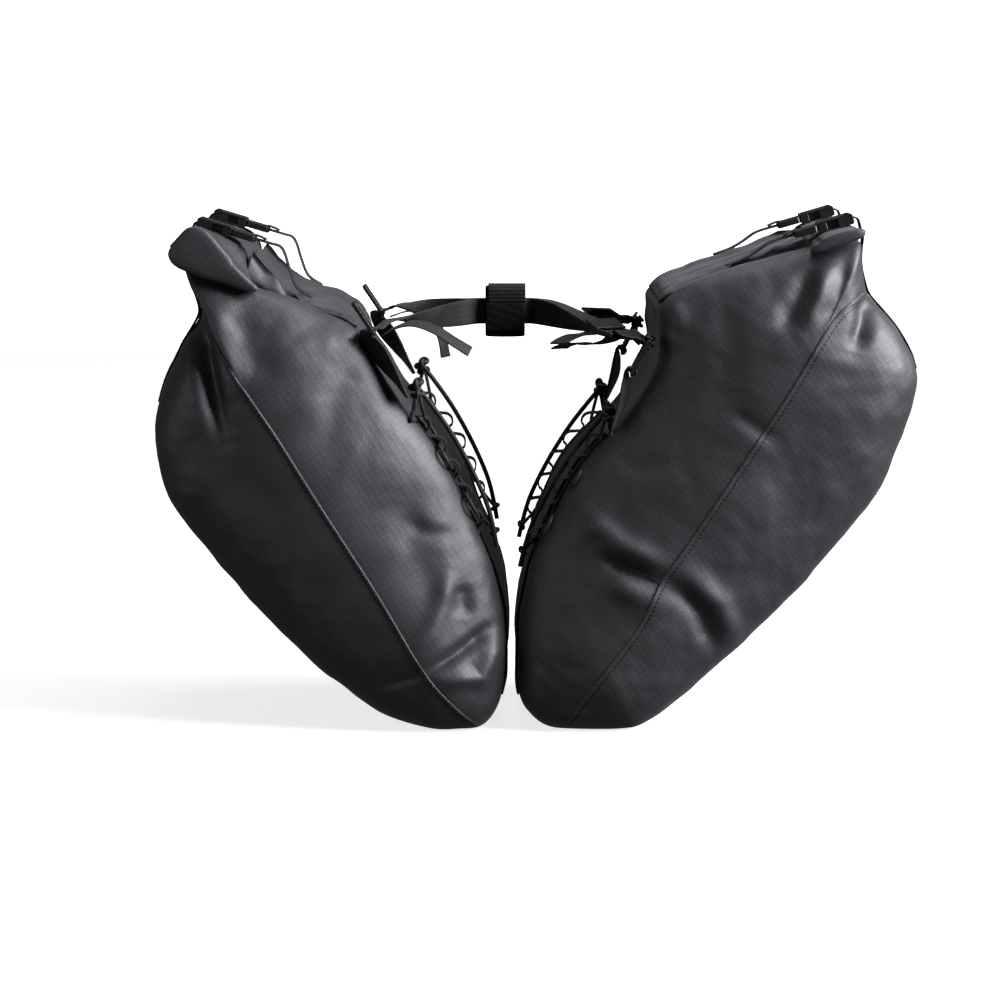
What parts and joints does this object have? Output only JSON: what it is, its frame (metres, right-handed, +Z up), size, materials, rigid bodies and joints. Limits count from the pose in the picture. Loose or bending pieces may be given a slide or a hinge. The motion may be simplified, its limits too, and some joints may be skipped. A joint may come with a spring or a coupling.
{
  "type": "motorcycle saddlebag pair",
  "caption": "Pair of soft roll-top saddlebags joined by a webbing yoke, standing in a V on their bases, with laced cords and side-release closures.",
  "frame": {"origin": "on the ground under the middle of the pair", "axes": "+X to the right-hand bag, +Y to the rear ends of the bags, +Z up"},
  "size_m": [0.6357, 0.3424, 0.4315],
  "materials": {
    "bag_fabric": "coated ripstop with a satin sheen",
    "seam_fabric": "stitched lap seam",
    "back_fabric": "matte reinforcing fabric",
    "binding": "woven edge binding",
    "webbing": "woven webbing",
    "cord": "braided cord",
    "wrap_fabric": "loop fabric",
    "hook_tape": "ribbed hook tape",
    "hardware_plastic": "moulded, satin",
    "stiffener_plastic": "plain strip"
  },
  "bodies": {
    "yoke": {"yoke_strap_front": "webbing", "yoke_strap_rear": "webbing", "yoke_link_front": "webbing", "yoke_link_rear": "webbing", "lock_webbing": "webbing", "left_tails": "webbing"},
    "grip_wrap": {"grip_wrap_band": "wrap_fabric", "grip_wrap_flap": "hook_tape"},
    "ladder_lock_front": {"ladder_lock_front": "hardware_plastic"},
    "ladder_lock_rear": {"ladder_lock_rear": "hardware_plastic"},
    "left_bag": {"left_outer_panel": "bag_fabric", "left_inner_panel": "bag_fabric", "left_seam_tape": "seam_fabric", "left_back_sheet": "back_fabric", "left_back_binding": "binding", "left_outer_straps": "webbing", "left_daisy_front": "webbing", "left_lace_front": "cord", "left_tie_front": "cord", "left_ring_front": "hardware_plastic", "left_tab_front": "webbing", "left_daisy_rear": "webbing", "left_lace_rear": "cord", "left_tie_rear": "cord", "left_ring_rear": "hardware_plastic", "left_tab_rear": "webbing"},
    "right_bag": {"right_outer_panel": "bag_fabric", "right_inner_panel": "bag_fabric", "right_seam_tape": "seam_fabric", "right_back_sheet": "back_fabric", "right_back_binding": "binding", "right_outer_straps": "webbing", "right_daisy_front": "webbing", "right_lace_front": "cord", "right_tie_front": "cord", "right_ring_front": "hardware_plastic", "right_tab_front": "webbing", "right_daisy_rear": "webbing", "right_lace_rear": "cord", "right_tie_rear": "cord", "right_ring_rear": "hardware_plastic", "right_tab_rear": "webbing"},
    "left_closure": {"left_collar": "bag_fabric", "left_roll": "bag_fabric", "left_roll_stiffener": "stiffener_plastic", "left_closure_strap_front": "webbing", "left_buckle_socket_front": "hardware_plastic", "left_closure_strap_rear": "webbing", "left_buckle_socket_rear": "hardware_plastic"},
    "right_closure": {"right_collar": "bag_fabric", "right_roll": "bag_fabric", "right_roll_stiffener": "stiffener_plastic", "right_closure_strap_front": "webbing", "right_buckle_socket_front": "hardware_plastic", "right_closure_strap_rear": "webbing", "right_buckle_socket_rear": "hardware_plastic"},
    "left_prongs_front": {"left_buckle_prongs_front": "hardware_plastic"},
    "left_prongs_rear": {"left_buckle_prongs_rear": "hardware_plastic"},
    "right_prongs_front": {"right_buckle_prongs_front": "hardware_plastic"},
    "right_prongs_rear": {"right_buckle_prongs_rear": "hardware_plastic"}
  },
  "joints": [
    {"name": "left_swing", "type": "hinge", "parent": "yoke", "child": "left_bag", "pos_m": [-0.135, 0, 0.334], "axis": [0, 1, 0], "range_deg": [0, 40]},
    {"name": "right_swing", "type": "hinge", "parent": "yoke", "child": "right_bag", "pos_m": [0.092, 0, 0.327], "axis": [0, -1, 0], "range_deg": [0, 40]},
    {"name": "left_closure_open", "type": "hinge", "parent": "left_bag", "child": "left_closure", "pos_m": [-0.14885, 0, 0.34383], "axis": [0, 1, 0], "range_deg": [0, 55]},
    {"name": "left_buckle_release_front", "type": "slide", "parent": "left_closure", "child": "left_prongs_front", "axis": [0.9578, 0, -0.2873], "range_m": [0, 0.0195]},
    {"name": "left_buckle_release_rear", "type": "slide", "parent": "left_closure", "child": "left_prongs_rear", "axis": [0.9578, 0, -0.2873], "range_m": [0, 0.0195]},
    {"name": "right_closure_open", "type": "hinge", "parent": "right_bag", "child": "right_closure", "pos_m": [0.1019, 0, 0.36584], "axis": [0, -1, 0], "range_deg": [0, 55]},
    {"name": "right_buckle_release_front", "type": "slide", "parent": "right_closure", "child": "right_prongs_front", "axis": [-0.9611, 0, -0.2762], "range_m": [0, 0.0195]},
    {"name": "right_buckle_release_rear", "type": "slide", "parent": "right_closure", "child": "right_prongs_rear", "axis": [-0.9611, 0, -0.2762], "range_m": [0, 0.0195]},
    {"name": "grip_wrap_slide", "type": "slide", "parent": "yoke", "child": "grip_wrap", "axis": [1, 0, 0], "range_m": [-0.006, 0.006]},
    {"name": "ladder_lock_front_tilt", "type": "hinge", "parent": "yoke", "child": "ladder_lock_front", "pos_m": [0.07305, -0.107, 0.33062], "axis": [0.8282, 0.5605, 0], "range_deg": [0, 30]},
    {"name": "ladder_lock_rear_tilt", "type": "hinge", "parent": "yoke", "child": "ladder_lock_rear", "pos_m": [0.07305, 0.107, 0.33062], "axis": [-0.8282, 0.5605, 0], "range_deg": [0, 30]}
  ]
}
